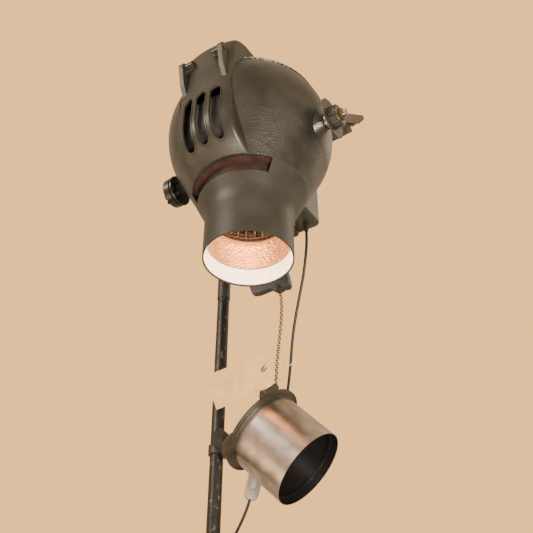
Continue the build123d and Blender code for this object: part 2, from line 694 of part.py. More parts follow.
# ---------------------------------------------------------------- rear box, its knob and the cord's gland
BOX_HALF = 30.0
BOX_BACK = 190.0
BOX_LOW = 191.0
BOX_TOP = 310.0
BOX_WALL = 2.5
BOX_FLOOR = 5.0
with BuildPart() as rear_box:
    with BuildSketch(side_plane.offset(-BOX_HALF)):
        with BuildLine():
            Polyline((110, BOX_LOW), (BOX_BACK, BOX_LOW), (BOX_BACK, BOX_TOP), (110, BOX_TOP), (110, BOX_LOW))
        make_face()
    extrude(amount=2 * BOX_HALF)
    fillet(rear_box.edges().filter_by(Axis.Z).group_by(Axis.Y)[-1], 9)
    fillet(rear_box.edges().group_by(Axis.Z)[0].filter_by(lambda e: e.center().Y > HEAD_Y + 115), 7)
    with BuildSketch(Plane(origin=at(0, 0, BOX_LOW + BOX_FLOOR))):
        with Locations((0, (90 + BOX_BACK - BOX_WALL) / 2)):
            RectangleRounded(2 * (BOX_HALF - BOX_WALL), BOX_BACK - BOX_WALL - 90, 7)
    extrude(amount=BOX_TOP - BOX_WALL - BOX_LOW - BOX_FLOOR, mode=Mode.SUBTRACT)
    with BuildSketch(front_plane.offset(-BOX_BACK + 6)):
        with Locations((0, 260)):
            Rectangle(38, 76)
    extrude(amount=-20, mode=Mode.SUBTRACT)
    with BuildSketch(front_plane):
        make_face(housing_profile(0, rim_angle))
    revolve(axis=head_axis, mode=Mode.SUBTRACT)
    with BuildSketch(Plane(origin=at(0, 0, BOX_LOW - 5))):
        with Locations((-14, 166)):
            Circle(5)
        with Locations((12, 166)):
            Circle(4.2)
    extrude(amount=20, mode=Mode.SUBTRACT)
rear_box.part.label = "rear_box"
export_step(rear_box.part, "parts/rear_box.step")

with BuildPart() as rear_cover:
    with BuildSketch(front_plane.offset(-BOX_BACK)):
        with Locations((0, 260)):
            RectangleRounded(46, 86, 5)
            with Locations((-19, -39), (19, -39), (-19, 39), (19, 39)):
                Circle(1.6, mode=Mode.SUBTRACT)
    extrude(amount=-2)
rear_cover.part.label = "rear_cover"
export_step(rear_cover.part, "parts/rear_cover.step")

with BuildPart() as cover_screws:
    with BuildSketch(front_plane.offset(-BOX_BACK - 2)):
        with Locations((-19, 221), (19, 221), (-19, 299), (19, 299)):
            Circle(3.2)
            Rectangle(5, 0.9, mode=Mode.SUBTRACT)
    extrude(amount=-1.6)
    with BuildSketch(front_plane.offset(-BOX_BACK)):
        with Locations((-19, 221), (19, 221), (-19, 299), (19, 299)):
            Circle(1.6)
    extrude(amount=-2.2)
cover_screws.part.label = "cover_screws"
export_step(cover_screws.part, "parts/cover_screws.step")

with BuildPart() as terminal_block:
    with BuildSketch(Plane(origin=at(0, 0, 240))):
        with Locations((0, BOX_BACK - 8)):
            Rectangle(26, 16)
    extrude(amount=18)
    with BuildSketch(Plane(origin=at(0, 0, 244))):
        with Locations((-7, BOX_BACK - 16), (7, BOX_BACK - 16)):
            Circle(3.5)
    extrude(amount=20, mode=Mode.SUBTRACT)
terminal_block.part.label = "terminal_block"
export_step(terminal_block.part, "parts/terminal_block.step")

LEAD_R = 1.5
with BuildPart() as lamp_leads:
    for x in (-5, 5):
        with BuildLine() as lead:
            FilletPolyline(
                at(x, 16, 304), at(x, 60, 306.5), at(x, 96, 298), at(x, 112, 260), at(x, 130, 249),
                at(x, BOX_BACK - 16, 249), radius=8,
            )
        with BuildSketch(Plane(origin=lead.line @ 0, z_dir=lead.line % 0)):
            Circle(LEAD_R)
        sweep(path=lead.line)
lamp_leads.part.label = "lamp_leads"
export_step(lamp_leads.part, "parts/lamp_leads.step")

SWITCH_X = -14.0
SWITCH_Y = 166.0
switch_plane = Plane(origin=at(SWITCH_X, SWITCH_Y, BOX_LOW))
with BuildPart() as switch_bush:
    with BuildSketch(switch_plane.offset(-3.5)):
        Circle(7.5)
        Circle(3.06, mode=Mode.SUBTRACT)
    extrude(amount=3.5)
    with BuildSketch(switch_plane):
        Circle(5)
        Circle(3.06, mode=Mode.SUBTRACT)
    extrude(amount=BOX_FLOOR)
    with BuildSketch(switch_plane.offset(BOX_FLOOR)):
        Rectangle(18, 18)
        Circle(3.06, mode=Mode.SUBTRACT)
    extrude(amount=12)
switch_bush.part.label = "switch_bush"
export_step(switch_bush.part, "parts/switch_bush.step")

with BuildPart() as switch_knob:
    with BuildSketch(switch_plane.offset(-17)):
        Circle(9)
        with PolarLocations(9.7, 16):
            Circle(1.1, mode=Mode.SUBTRACT)
    extrude(amount=13.2)
    fillet(switch_knob.edges().group_by(Axis.Z)[0], 0.5)
    with BuildSketch(switch_plane.offset(-3.8)):
        Circle(3)
    extrude(amount=12)
    with BuildSketch(switch_plane.offset(-17)):
        with Locations((0, 5)):
            Rectangle(1.4, 5)
    extrude(amount=0.6, mode=Mode.SUBTRACT)
switch_knob.part.label = "switch_knob"
export_step(switch_knob.part, "parts/switch_knob.step")

GLAND_X = 12.0
GLAND_LEN = 22.0
gland_plane = Plane(origin=at(GLAND_X, SWITCH_Y, BOX_LOW))
with BuildPart() as cord_gland:
    with BuildSketch(gland_plane):
        Circle(5.5)
    with BuildSketch(gland_plane.offset(-GLAND_LEN)):
        Circle(3.4)
    loft()
    with BuildSketch(gland_plane):
        Circle(4.2)
    extrude(amount=BOX_FLOOR + 3)
    with BuildSketch(gland_plane.offset(-GLAND_LEN)):
        Circle(CORD_R)
    extrude(amount=12, mode=Mode.SUBTRACT)
cord_gland.part.label = "cord_gland"
export_step(cord_gland.part, "parts/cord_gland.step")

# ---------------------------------------------------------------- accessory light tube
tube_plane = Plane(origin=at(*TUBE_CENTRE), x_dir=(0.2995, -0.9541, 0), z_dir=TUBE_AXIS)
with BuildPart() as tube_flange:
    with BuildSketch(tube_plane):
        Circle(FLANGE_R)
        with BuildLine():
            Polyline((66, -22), (80, -24), (92, -30), (82, -41), (77, -51), (74, -61), (58, -61), (50, -50))
            Line((50, -50), (66, -22))
        make_face()
        with BuildLine():
            Polyline((66, 42), (70, 52), (66, 66), (34, 80), (18, 76), (30, 62), (58, 38), (66, 42))
        make_face()
        Circle(TUBE_R - TUBE_WALL, mode=Mode.SUBTRACT)
    extrude(amount=FLANGE_T)
    # rolled outer edge and the raised seat of the tube
    with BuildSketch(tube_plane.offset(FLANGE_T)):
        Circle(FLANGE_R)
        Circle(FLANGE_R - 1.6, mode=Mode.SUBTRACT)
    extrude(amount=1.4)
    with BuildSketch(tube_plane.offset(FLANGE_T)):
        Circle(TUBE_R + 3.5)
        Circle(TUBE_R - TUBE_WALL, mode=Mode.SUBTRACT)
    extrude(amount=1.2)
tube_flange.part.label = "tube_flange"
export_step(tube_flange.part, "parts/tube_flange.step")

with BuildPart() as tube_rivets:
    with BuildSketch(tube_plane.offset(FLANGE_T)):
        with Locations((70, -49), (84, -35), (80, -28.5), (43, 60), (63.5, 53.5), (30, 76)):
            Circle(2.2)
    extrude(amount=1.3)
tube_rivets.part.label = "tube_rivets"
export_step(tube_rivets.part, "parts/tube_rivets.step")

TUBE_SEAT = FLANGE_T + 1.2
with BuildPart() as tube_body:
    with BuildSketch(tube_plane.offset(TUBE_SEAT)):
        Circle(TUBE_R)
        Circle(TUBE_R - TUBE_WALL, mode=Mode.SUBTRACT)
    extrude(amount=TUBE_LEN - 1.2)
    for start in (30, TUBE_LEN - 14):
        with BuildSketch(tube_plane.offset(start)):
            Circle(TUBE_R)
            Circle(TUBE_R - 5, mode=Mode.SUBTRACT)
        extrude(amount=2.5)
tube_body.part.label = "tube_body"
export_step(tube_body.part, "parts/tube_body.step")

# sheet clip that ties the flange's ear to a collar on the column
CLIP_T = 2.4
CLIP_LONG = 30.0
CLIP_WIDE = 29.6
CLIP_DEEP = 18.0
clip_corner = tube_plane.from_local_coords(Vector(41.9, 62.4, 0))
clip_out = tube_plane.x_dir * 0.467 + tube_plane.y_dir * 0.884
clip_plane = Plane(origin=clip_corner, x_dir=clip_out, z_dir=-tube_plane.z_dir)
CLAMP_LOW = MOUTH_Z - 205
CLAMP_LEN = 15.0
CLAMP_R = 14.0
with BuildPart() as clip_box:
    with BuildSketch(clip_plane):
        Rectangle(CLIP_DEEP, CLIP_WIDE)
    extrude(amount=CLIP_LONG)
    with BuildSketch(clip_plane.offset(CLIP_T)):
        with Locations((-CLIP_T, 0)):
            Rectangle(CLIP_DEEP, CLIP_WIDE - 2 * CLIP_T)
    extrude(amount=CLIP_LONG - 2 * CLIP_T, mode=Mode.SUBTRACT)
    with BuildSketch(Plane.XY.offset(CLAMP_LOW)):
        Circle(CLAMP_R)
    extrude(amount=CLAMP_LEN)
    with BuildSketch(Plane.XY.offset(CLAMP_LOW - 30)):
        Circle(COLUMN_R)
    extrude(amount=CLAMP_LEN + 60, mode=Mode.SUBTRACT)
clip_box.part.label = "clip_box"
export_step(clip_box.part, "parts/clip_box.step")

# thumb screw in the collar and set screws in the elbow
SCREW_R = 6.0
with BuildPart() as column_screws:
    with BuildSketch(Plane.XZ.offset(-COLUMN_R)):
        with Locations((0, THUMB_Z)):
            Circle(THUMB_R)
    extrude(amount=-9)
    with BuildSketch(Plane.XZ.offset(-COLUMN_R - 9)):
        with Locations((0, THUMB_Z)):
            Circle(7)
    extrude(amount=-7)
    with BuildSketch(Plane.XY.offset(MOUTH_Z + ARM_Z + 14)):
        with Locations((28, HEAD_Y + ARM_Y)):
            Circle(SCREW_R)
    extrude(amount=5)
    with BuildSketch(Plane.XZ.offset(16)):
        with Locations((0, MOUTH_Z + ARM_Z - 20)):
            Circle(SCREW_R)
    extrude(amount=5)
column_screws.part.label = "column_screws"
export_step(column_screws.part, "parts/column_screws.step")

# ---------------------------------------------------------------- chain, clasp and hang tag
CHAIN_POINTS = [
    at(-53.5, 174, 73), at(-48.5, 174, 50), at(-47.8, 174, 34), at(-51, 173, -22), at(-54.3, 171, -60),
    at(-56.5, 169, -98), at(-56, 167, -116),
]
LINK_PITCH = 4.6
LINK_R = 2.7
with BuildLine():
    chain_path = Spline(CHAIN_POINTS)
link_count = int(chain_path.length / LINK_PITCH)
with BuildPart() as chain:
    for i in range(link_count):
        place = (i + 0.5) / link_count
        spot = chain_path @ place
        along = chain_path % place
        across = X_AXIS.cross(along) if i % 2 else X_AXIS
        with Locations(Location(Plane(origin=spot, x_dir=along, z_dir=across))):
            Torus(LINK_R, 0.7)
chain.part.label = "chain"
export_step(chain.part, "parts/chain.step")

with BuildPart() as chain_clasp:
    with Locations(Location(Plane(origin=at(HOOK_X + 1, 174, HOOK_Z - 3.5), z_dir=(1, 0, 0)))):
        Torus(4.6, 0.9)
    with BuildSketch(bracket_plane.offset(-BRACKET_DEEP / 2 - 3.5)):
        with Locations((HOOK_X, HOOK_Z)):
            Circle(2.5)
    extrude(amount=BRACKET_DEEP + 7)
    with BuildSketch(bracket_plane.offset(-BRACKET_DEEP / 2 - 3.5)):
        with Locations((HOOK_X, HOOK_Z)):
            Circle(4.6)
    extrude(amount=2.5)
chain_clasp.part.label = "chain_clasp"
export_step(chain_clasp.part, "parts/chain_clasp.step")

TAG_Y = 159.0
EYELET_R = 5.6
tag_plane = Plane(origin=at(0, TAG_Y, 0), x_dir=(1, 0, 0), z_dir=(0, -1, 0))
with BuildPart() as hang_tag:
    with BuildSketch(tag_plane):
        with BuildLine():
            Polyline((-196, -69), (-85, -60), (-63, -76), (-52, -104), (-60, -125), (-166, -139), (-196, -69))
        make_face()
        with Locations((-74, -91)):
            Circle(2.6, mode=Mode.SUBTRACT)
    extrude(amount=0.6)
hang_tag.part.label = "hang_tag"
export_step(hang_tag.part, "parts/hang_tag.step")

with BuildPart() as tag_eyelet:
    with BuildSketch(tag_plane.offset(-0.5)):
        with Locations((-74, -91)):
            Circle(EYELET_R)
            Circle(2.6, mode=Mode.SUBTRACT)
    extrude(amount=0.5)
    with BuildSketch(tag_plane.offset(0.6)):
        with Locations((-74, -91)):
            Circle(EYELET_R)
            Circle(2.6, mode=Mode.SUBTRACT)
    extrude(amount=0.5)
    with BuildSketch(tag_plane.offset(-0.5)):
        with Locations((-74, -91)):
            Circle(2.6)
            Circle(2.0, mode=Mode.SUBTRACT)
    extrude(amount=1.6)
tag_eyelet.part.label = "tag_eyelet"
export_step(tag_eyelet.part, "parts/tag_eyelet.step")

STRING_R = 0.6
with BuildPart() as tag_string:
    with BuildLine() as string_line:
        Spline(
            at(-74, TAG_Y + 6, -88), at(-74, TAG_Y - 0.3, -91), at(-68, TAG_Y - 4, -89),
            at(-59, TAG_Y - 4, -82), at(-55, 170.5, -77), at(-50, 174, -80), at(-44, 171, -88),
            at(-33, 167, -93), at(-14, 166, -86),
        )
    with BuildSketch(Plane(origin=string_line.line @ 0, z_dir=string_line.line % 0)):
        Circle(STRING_R)
    sweep(path=string_line.line)
tag_string.part.label = "tag_string"
export_step(tag_string.part, "parts/tag_string.step")

# ---------------------------------------------------------------- mains cord, in-line switch, hank and plug


def route_radii(points, part_of_run):
    """Bend radius at each inner corner, from the shorter of its two runs and its turn."""
    radii = []
    for before, corner, after in zip(points, points[1:], points[2:]):
        run_in = corner - before
        run_out = after - corner
        turn = math.acos(run_in.normalized().dot(run_out.normalized()))
        radii.append(part_of_run * min(run_in.length, run_out.length) / math.tan(turn / 2))
    return radii


def cord_tube(name, points):
    """One cord solid along a route, with an arc at each corner."""
    radii = route_radii(points, 0.45)
    with BuildPart() as tube:
        with BuildLine():
            route = FilletPolyline(*points, radius=radii)
        with BuildSketch(Plane(origin=route @ 0, z_dir=route % 0)):
            Circle(CORD_R)
        sweep(path=route)
    length = route.length
    print(name, "radii", [round(r, 1) for r in radii])
    ratio = tube.part.volume / length / math.pi / CORD_R**2
    print(name, "length", round(length, 1), "volume ratio", round(ratio, 4))
    tube.part.label = name
    export_step(tube.part, f"parts/{name}.step")
    return length


switch_top = at(-179, 301, -191)
switch_low = at(-193, 300, -242)
cord_length = cord_tube(
    "cord_run",
    [
        at(GLAND_X, SWITCH_Y, BOX_LOW - GLAND_LEN), at(11.5, 167, 146), at(5, 172, 117), at(-8, 184, 86),
        at(-25, 198, 59), at(-43, 213, 29), at(-61, 231, -1), at(-79, 254, -33), at(-98, 276, -65),
        at(-117, 294, -93), at(-136, 306, -122), at(-156, 310, -150), at(-171, 305, -172), switch_top,
    ],
)

HANK_X = -181.0
HANK_Z = -462.0
HANK_RUN = 75.0  # straight part of each turn of the tied hank
HANK_WIDE = 56.6
HANK_FRONT = 196.4  # just behind the column
HANK_DEEP = 21.6
SIDE_X = HANK_X - 25.8  # the cord goes in and out along the hank's left side
cord_length += cord_tube(
    "cord_lower",
    [
        switch_low, at(-199, 296, -264), at(-206, 289, -287), at(-211, 277, -311), at(-212, 262, -334),
        at(-210, 246, -356), at(-208, 229, -378), at(SIDE_X, 212, -401),
        at(SIDE_X, 199, HANK_Z + HANK_RUN / 2),
    ],
)

with BuildPart() as cord_hank:
    with BuildSketch(front_plane.offset(-HANK_FRONT)):
        with Locations((HANK_X, HANK_Z)):
            SlotCenterToCenter(HANK_RUN, HANK_WIDE, rotation=90)
    extrude(amount=-HANK_DEEP)
    fillet(cord_hank.edges().group_by(Axis.Y)[0] + cord_hank.edges().group_by(Axis.Y)[-1], 2)
cord_hank.part.label = "cord_hank"
export_step(cord_hank.part, "parts/cord_hank.step")

TAIL_END = HANK_Z - HANK_RUN / 2 - 48
cord_length += cord_tube(
    "cord_tail",
    [
        at(SIDE_X, 215.3, HANK_Z - HANK_RUN / 2), at(SIDE_X + 1, 215.5, TAIL_END + 24),
        at(SIDE_X + 6, 216, TAIL_END),
    ],
)

with BuildPart() as hank_tie:
    with BuildSketch(Plane(origin=at(0, 0, HANK_Z - 2.5))):
        with Locations((HANK_X, (HANK_FRONT + HANK_DEEP + 171) / 2)):
            RectangleRounded(HANK_WIDE + 4.4, HANK_FRONT + HANK_DEEP - 171 + 4.4, 9)
            RectangleRounded(HANK_WIDE + 0.6, HANK_FRONT + HANK_DEEP - 171 + 0.6, 8, mode=Mode.SUBTRACT)
    extrude(amount=5)
hank_tie.part.label = "hank_tie"
export_step(hank_tie.part, "parts/hank_tie.step")

plug_plane = Plane(origin=at(SIDE_X + 6, 216, TAIL_END), x_dir=(0, 1, 0), z_dir=(5, 0.5, -24))
with BuildPart() as plug_body:
    with BuildSketch(plug_plane):
        Circle(4)
    with BuildSketch(plug_plane.offset(9)):
        Circle(8)
    loft()
    with BuildSketch(plug_plane.offset(9)):
        RectangleRounded(22, 16, 5)
    extrude(amount=21)
    with BuildSketch(plug_plane.offset(26)):
        RectangleRounded(26, 20, 6)
    extrude(amount=4)
plug_body.part.label = "plug_body"
export_step(plug_body.part, "parts/plug_body.step")

with BuildPart() as plug_pins:
    with BuildSketch(plug_plane.offset(30)):
        with Locations((-6.35, 0), (6.35, 0)):
            Rectangle(1.6, 6.4)
    extrude(amount=17)
plug_pins.part.label = "plug_pins"
export_step(plug_pins.part, "parts/plug_pins.step")

# in-line switch: two halves around the cord, with a rocker in the front half
switch_axis = switch_low - switch_top
switch_facing = Vector(0.59, -0.79, -0.15)  # the rocker looks out to the front and right
INLINE_LEN = switch_axis.length
INLINE_WIDE = 25.0
INLINE_ROUND = 11.5
ROCKER_LONG = 18.4
ROCKER_WIDE = 9.0
TRUNNION_R = 1.2
ROCKER_DEPTH = 6.4
switch_back = switch_axis.cross(switch_axis.cross(switch_facing))
shell_side = Plane(origin=switch_top, x_dir=switch_axis, z_dir=switch_back)
rocker_centre = shell_side.from_local_coords(Vector(INLINE_LEN / 2, 0, -ROCKER_DEPTH))
rocker_plane = Plane(origin=rocker_centre, x_dir=switch_axis, z_dir=shell_side.y_dir)
with BuildPart() as inline_back:
    with BuildSketch(shell_side):
        with Locations((INLINE_LEN / 2, 0)):
            RectangleRounded(INLINE_LEN, INLINE_WIDE, INLINE_ROUND)
    extrude(amount=8)
    fillet(inline_back.faces().sort_by(Axis(switch_top, shell_side.z_dir))[-1].edges(), 3)
inline_back.part.label = "inline_back"
export_step(inline_back.part, "parts/inline_back.step")

with BuildPart() as inline_front:
    with BuildSketch(shell_side):
        with Locations((INLINE_LEN / 2, 0)):
            RectangleRounded(INLINE_LEN, INLINE_WIDE, INLINE_ROUND)
    extrude(amount=-9)
    fillet(inline_front.faces().sort_by(Axis(switch_top, shell_side.z_dir))[0].edges(), 3)
    with BuildSketch(shell_side.offset(-3)):
        with Locations((INLINE_LEN / 2, 0)):
            Rectangle(ROCKER_LONG + 1.2, ROCKER_WIDE + 0.8)
    extrude(amount=-7, mode=Mode.SUBTRACT)
    with BuildSketch(rocker_plane.offset(-ROCKER_WIDE / 2 - 2)):
        Circle(TRUNNION_R + 0.05)
    extrude(amount=ROCKER_WIDE + 4, mode=Mode.SUBTRACT)
inline_front.part.label = "inline_front"
export_step(inline_front.part, "parts/inline_front.step")

with BuildPart() as switch_rocker:
    with BuildSketch(rocker_plane):
        with BuildLine():
            Polyline((-9.1, -1), (-9.1, 3.4), (0, 4.6), (9.1, 3.4), (9.1, -1), (0, -2.2), (-9.1, -1))
        make_face()
    extrude(amount=ROCKER_WIDE / 2, both=True)
    with BuildSketch(rocker_plane):
        Circle(TRUNNION_R)
    extrude(amount=ROCKER_WIDE / 2 + 1.6, both=True)
switch_rocker.part.label = "switch_rocker"
export_step(switch_rocker.part, "parts/switch_rocker.step")

print("cord tubes", round(cord_length, 1), "pivot", pivot, "rocker", rocker_plane.origin, rocker_plane.z_dir)
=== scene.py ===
import math

import bpy
from mathutils import Matrix, Vector


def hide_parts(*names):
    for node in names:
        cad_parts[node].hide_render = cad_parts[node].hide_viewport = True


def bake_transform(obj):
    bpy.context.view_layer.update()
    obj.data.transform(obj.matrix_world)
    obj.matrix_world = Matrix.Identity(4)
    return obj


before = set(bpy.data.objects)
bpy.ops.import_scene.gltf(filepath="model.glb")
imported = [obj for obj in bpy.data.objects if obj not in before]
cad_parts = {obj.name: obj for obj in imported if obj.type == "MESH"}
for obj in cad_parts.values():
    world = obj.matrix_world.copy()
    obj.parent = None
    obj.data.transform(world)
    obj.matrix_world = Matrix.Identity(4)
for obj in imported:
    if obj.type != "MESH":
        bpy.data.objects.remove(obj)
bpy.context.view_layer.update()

# ---------------------------------------------------------------- sizes, metres
MOUTH = Vector((0.181, -0.184, 0.680))  # centre of the snout's mouth
PIVOT = MOUTH + Vector((0, 0, 0.221))  # the middle of the tilt axis
CORD_D = 0.005
TUBE_FROM = (-120.2, 225.5, -158.8)  # flange centre of the accessory tube, millimetres from the mouth
TUBE_WAY = (0.676, 0.212, -0.706)
TUBE_BORE = 0.0669
INWARD = (0.0, 0.676, -0.737)  # square to the bow's web, on its underside; faces looking this way are painted near-black as shade

LENS = 47.48  # millimetres, on a film 36 mm wide
VIEW_END = 30  # metres
CAMERA_FROM = (474.6, -691.2, -653.4)  # millimetres from the mouth
CAMERA_RIGHT = (0.8425, 0.5388, 0.0)
CAMERA_BACK = (0.4281, -0.6694, -0.6072)

FLOOR_Z = -0.95
FLOOR_HALF = 4.0
BACKDROP = (1.78, 0.93, 0.31)  # its own light
BACKDROP_MIDDLE = (-2.6, 4.2, 4.4)
BACKDROP_WAY = (0.45, -0.71, -0.5)  # the way the wall faces
BACKDROP_HALF = 9.0
WORLD = (0.72, 0.535, 0.36)

# name, place, what it points at, disc's width, watts, colour
LIGHTS = (
    ("key", (-0.6, -1.9, 1.6), PIVOT, 1.0, 28, (1.0, 0.93, 0.84)),
    ("front", (1.09, -0.73, -0.01), PIVOT, 0.35, 30, (1.0, 0.96, 0.88)),
    ("rim", (0.9, 1.4, 2.2), PIVOT, 1.0, 3, (1.0, 0.88, 0.72)),
    ("low", (-0.9, -0.9, -0.3), MOUTH, 0.9, 6, (1.0, 0.74, 0.50)),
    ("under", (0.36, -0.55, -0.20), PIVOT, 0.55, 8, (1.0, 0.96, 0.88)),
)


def at(x, y, z):
    """A point given in millimetres from the centre of the snout's mouth."""
    return MOUTH + Vector((x, y, z)) / 1000


# ---------------------------------------------------------------- camera
def add_camera():
    """The camera, below the lamp and looking up at it."""
    data = bpy.data.cameras.new("camera")
    data.lens = LENS
    data.clip_end = VIEW_END
    camera = bpy.data.objects.new("camera", data)
    right = Vector(CAMERA_RIGHT)
    back = Vector(CAMERA_BACK).normalized()
    up = back.cross(right).normalized()
    turn = Matrix((right, up, back)).transposed().to_4x4()
    camera.matrix_world = Matrix.Translation(at(*CAMERA_FROM)) @ turn
    bpy.context.collection.objects.link(camera)
    bpy.context.scene.camera = camera


add_camera()

# ---------------------------------------------------------------- cord, millimetres from the mouth
HANK_X = -181.0
HANK_Z = -462.0
HANK_HALF = 37.5  # half of the straight part of a turn
INNER = 15.0  # radii of the turns' ends
MIDDLE = 20.4
OUTER = 25.8
LAYERS = (199.2, 204.6, 210.0, 215.3)  # depth of each layer of turns
STEPS_DOWN = (0.9, 0.3, -0.3, -0.9)  # heights along a straight part, as parts of HANK_HALF
STEPS_UP = (-0.9, -0.3, 0.3, 0.9)
ANGLES_BELOW = (202, 225, 247, 270, 292, 315, 337)
ANGLES_ABOVE = (23, 45, 68, 90, 112, 135, 157)
TAIL_DROP = 48.0  # from the hank's last turn down to the plug
CORD_STEPS = 6
CORD_RINGS = 3


def hank_turn(radius, next_radius, depth, next_depth):
    """Points of one turn: down the left, round below, up the right, and over the top to the next."""
    points = []
    for step in STEPS_DOWN:
        points.append(at(HANK_X - radius, depth, HANK_Z + step * HANK_HALF))
    for angle in ANGLES_BELOW:
        turn = math.radians(angle)
        points.append(
            at(HANK_X + radius * math.cos(turn), depth, HANK_Z - HANK_HALF + radius * math.sin(turn))
        )
    for step in STEPS_UP:
        part = (step - STEPS_UP[0]) / (STEPS_UP[-1] - STEPS_UP[0])
        level = depth + (next_depth - depth) * part
        points.append(at(HANK_X + radius, level, HANK_Z + step * HANK_HALF))
    for angle in ANGLES_ABOVE:
        turn = math.radians(angle)
        reach = radius + (next_radius - radius) * angle / 180
        points.append(
            at(HANK_X + reach * math.cos(turn), next_depth, HANK_Z + HANK_HALF + reach * math.sin(turn))
        )
    return points


def hank_points():
    """Eight turns in four layers, wound inwards and outwards in turn, and the start of a ninth."""
    first, second, third, fourth = LAYERS
    turns = (
        (OUTER, MIDDLE, first, first),
        (MIDDLE, INNER, first, first),
        (INNER, MIDDLE, first, second),
        (MIDDLE, OUTER, second, second),
        (OUTER, MIDDLE, second, third),
        (MIDDLE, INNER, third, third),
        (INNER, MIDDLE, third, fourth),
        (MIDDLE, OUTER, fourth, fourth),
    )
    points = []
    for radius, next_radius, depth, next_depth in turns:
        points += hank_turn(radius, next_radius, depth, next_depth)
    for step in STEPS_DOWN[:-1]:
        points.append(at(HANK_X - OUTER, fourth, HANK_Z + step * HANK_HALF))
    return points


def cord_points():
    """The cord's route: gland, down behind the accessory tube, in-line switch, hank, plug."""
    side = HANK_X - OUTER
    upper = [
        at(12, 166, 169), at(11.5, 167, 146), at(5, 172, 117), at(-8, 184, 86), at(-25, 198, 59),
        at(-43, 213, 29), at(-61, 231, -1), at(-79, 254, -33), at(-98, 276, -65), at(-117, 294, -93),
        at(-136, 306, -122), at(-156, 310, -150), at(-171, 305, -172), at(-179, 301, -191),
    ]
    lower = [
        at(-193, 300, -242), at(-199, 296, -264), at(-206, 289, -287), at(-211, 277, -311),
        at(-212, 262, -334), at(-210, 246, -356), at(-208, 229, -378), at(side, 212, -401),
    ]
    tail_end = HANK_Z - HANK_HALF - TAIL_DROP
    tail = [
        at(side, LAYERS[-1], HANK_Z - HANK_HALF), at(side + 1, 215.5, tail_end + TAIL_DROP / 2),
        at(side + 6, 216, tail_end),
    ]
    return upper + lower + hank_points() + tail


def curve_object(name, points, thickness):
    """A smooth open curve with these control points, round in section."""
    data = bpy.data.curves.new(name, "CURVE")
    data.dimensions = "3D"
    spline = data.splines.new("NURBS")
    spline.points.add(len(points) - 1)
    for slot, point in zip(spline.points, points):
        slot.co = (*point, 1)
    spline.order_u = 3
    spline.use_endpoint_u = True
    spline.resolution_u = CORD_STEPS
    data.bevel_depth = thickness / 2
    data.bevel_resolution = CORD_RINGS
    data.use_fill_caps = True
    piece = bpy.data.objects.new(name, data)
    bpy.context.collection.objects.link(piece)
    return piece


def curve_line(piece):
    """The points that a curve follows, without its thickness."""
    thickness = piece.data.bevel_depth
    piece.data.bevel_depth = 0
    bpy.context.view_layer.update()
    graph = bpy.context.evaluated_depsgraph_get()
    mesh = piece.evaluated_get(graph).to_mesh()
    line = [vertex.co.copy() for vertex in mesh.vertices]
    piece.evaluated_get(graph).to_mesh_clear()
    piece.data.bevel_depth = thickness
    return line


def as_mesh(piece):
    """The same piece as a plain mesh object of the same name."""
    bpy.context.view_layer.update()
    graph = bpy.context.evaluated_depsgraph_get()
    mesh = bpy.data.meshes.new_from_object(piece.evaluated_get(graph))
    name = piece.name
    bpy.data.objects.remove(piece)
    solid = bpy.data.objects.new(name, mesh)
    bpy.context.collection.objects.link(solid)
    for face in mesh.polygons:
        face.use_smooth = True
    return solid


# ---------------------------------------------------------------- materials
UNLIT = (0.008, 0.007, 0.006)  # near-black colour of painted shade, given to what is masked out
TONE_SPAN = (0.35, 0.68)  # where a noise turns from the dark tone to the light one
FLECK_EDGE = 0.05
FLECK_GRAIN = 2.2  # noise scales, as multiples of the grain
FLECK_DETAIL = 6.0
BUMP_DETAIL = 2.0
GLOSS_GRAIN = 1.7
GLOSS_DOWN = 0.07  # how far the roughness strays
GLOSS_UP = 0.08
GLOSS_LEAST = 0.02
FACING_SPAN = (0.05, 0.25)
BORE_EDGE = 0.0002
COAT_ROUGH = 0.25


def noise(tree, mapping, scale, detail=4.0):
    """A noise texture in the piece's own frame."""
    texture = tree.nodes.new("ShaderNodeTexNoise")
    texture.inputs["Scale"].default_value = scale
    texture.inputs["Detail"].default_value = detail
    tree.links.new(mapping.outputs["Vector"], texture.inputs["Vector"])
    return texture.outputs["Fac"]


def ramp(tree, value, span, low, high):
    """A colour that goes from low to high as the value crosses the span."""
    node = tree.nodes.new("ShaderNodeValToRGB")
    for stop, position, colour in zip(node.color_ramp.elements, span, (low, high)):
        stop.position = position
        stop.color = (*colour, 1)
    tree.links.new(value, node.inputs["Fac"])
    return node.outputs["Color"]


def spread(tree, value, start=(0.0, 1.0), end=(0.0, 1.0)):
    """A value carried from one range to another, and kept inside the second."""
    node = tree.nodes.new("ShaderNodeMapRange")
    node.inputs["From Min"].default_value = start[0]
    node.inputs["From Max"].default_value = start[1]
    node.inputs["To Min"].default_value = end[0]
    node.inputs["To Max"].default_value = end[1]
    tree.links.new(value, node.inputs["Value"])
    return node.outputs["Result"]


def towards(tree, factor, colour, fixed):
    """A colour that turns into a fixed one by a factor."""
    node = tree.nodes.new("ShaderNodeMix")
    node.data_type = "RGBA"
    fraction, from_colour, to_colour = node.inputs[0], node.inputs[6], node.inputs[7]
    to_colour.default_value = (*fixed, 1)
    tree.links.new(factor, fraction)
    tree.links.new(colour, from_colour)
    return node.outputs[2]


def vector_step(tree, operation, source, fixed=None):
    """One step of vector arithmetic on a socket and, for most steps, a fixed vector."""
    node = tree.nodes.new("ShaderNodeVectorMath")
    node.operation = operation
    if fixed is not None:
        node.inputs[1].default_value = fixed
    tree.links.new(source, node.inputs[0])
    return node


def facing_mask(tree, place, way):
    """One on the faces that look along a direction, none on the rest."""
    facing = vector_step(tree, "DOT_PRODUCT", place.outputs["Normal"], way)
    return spread(tree, facing.outputs["Value"], start=FACING_SPAN)


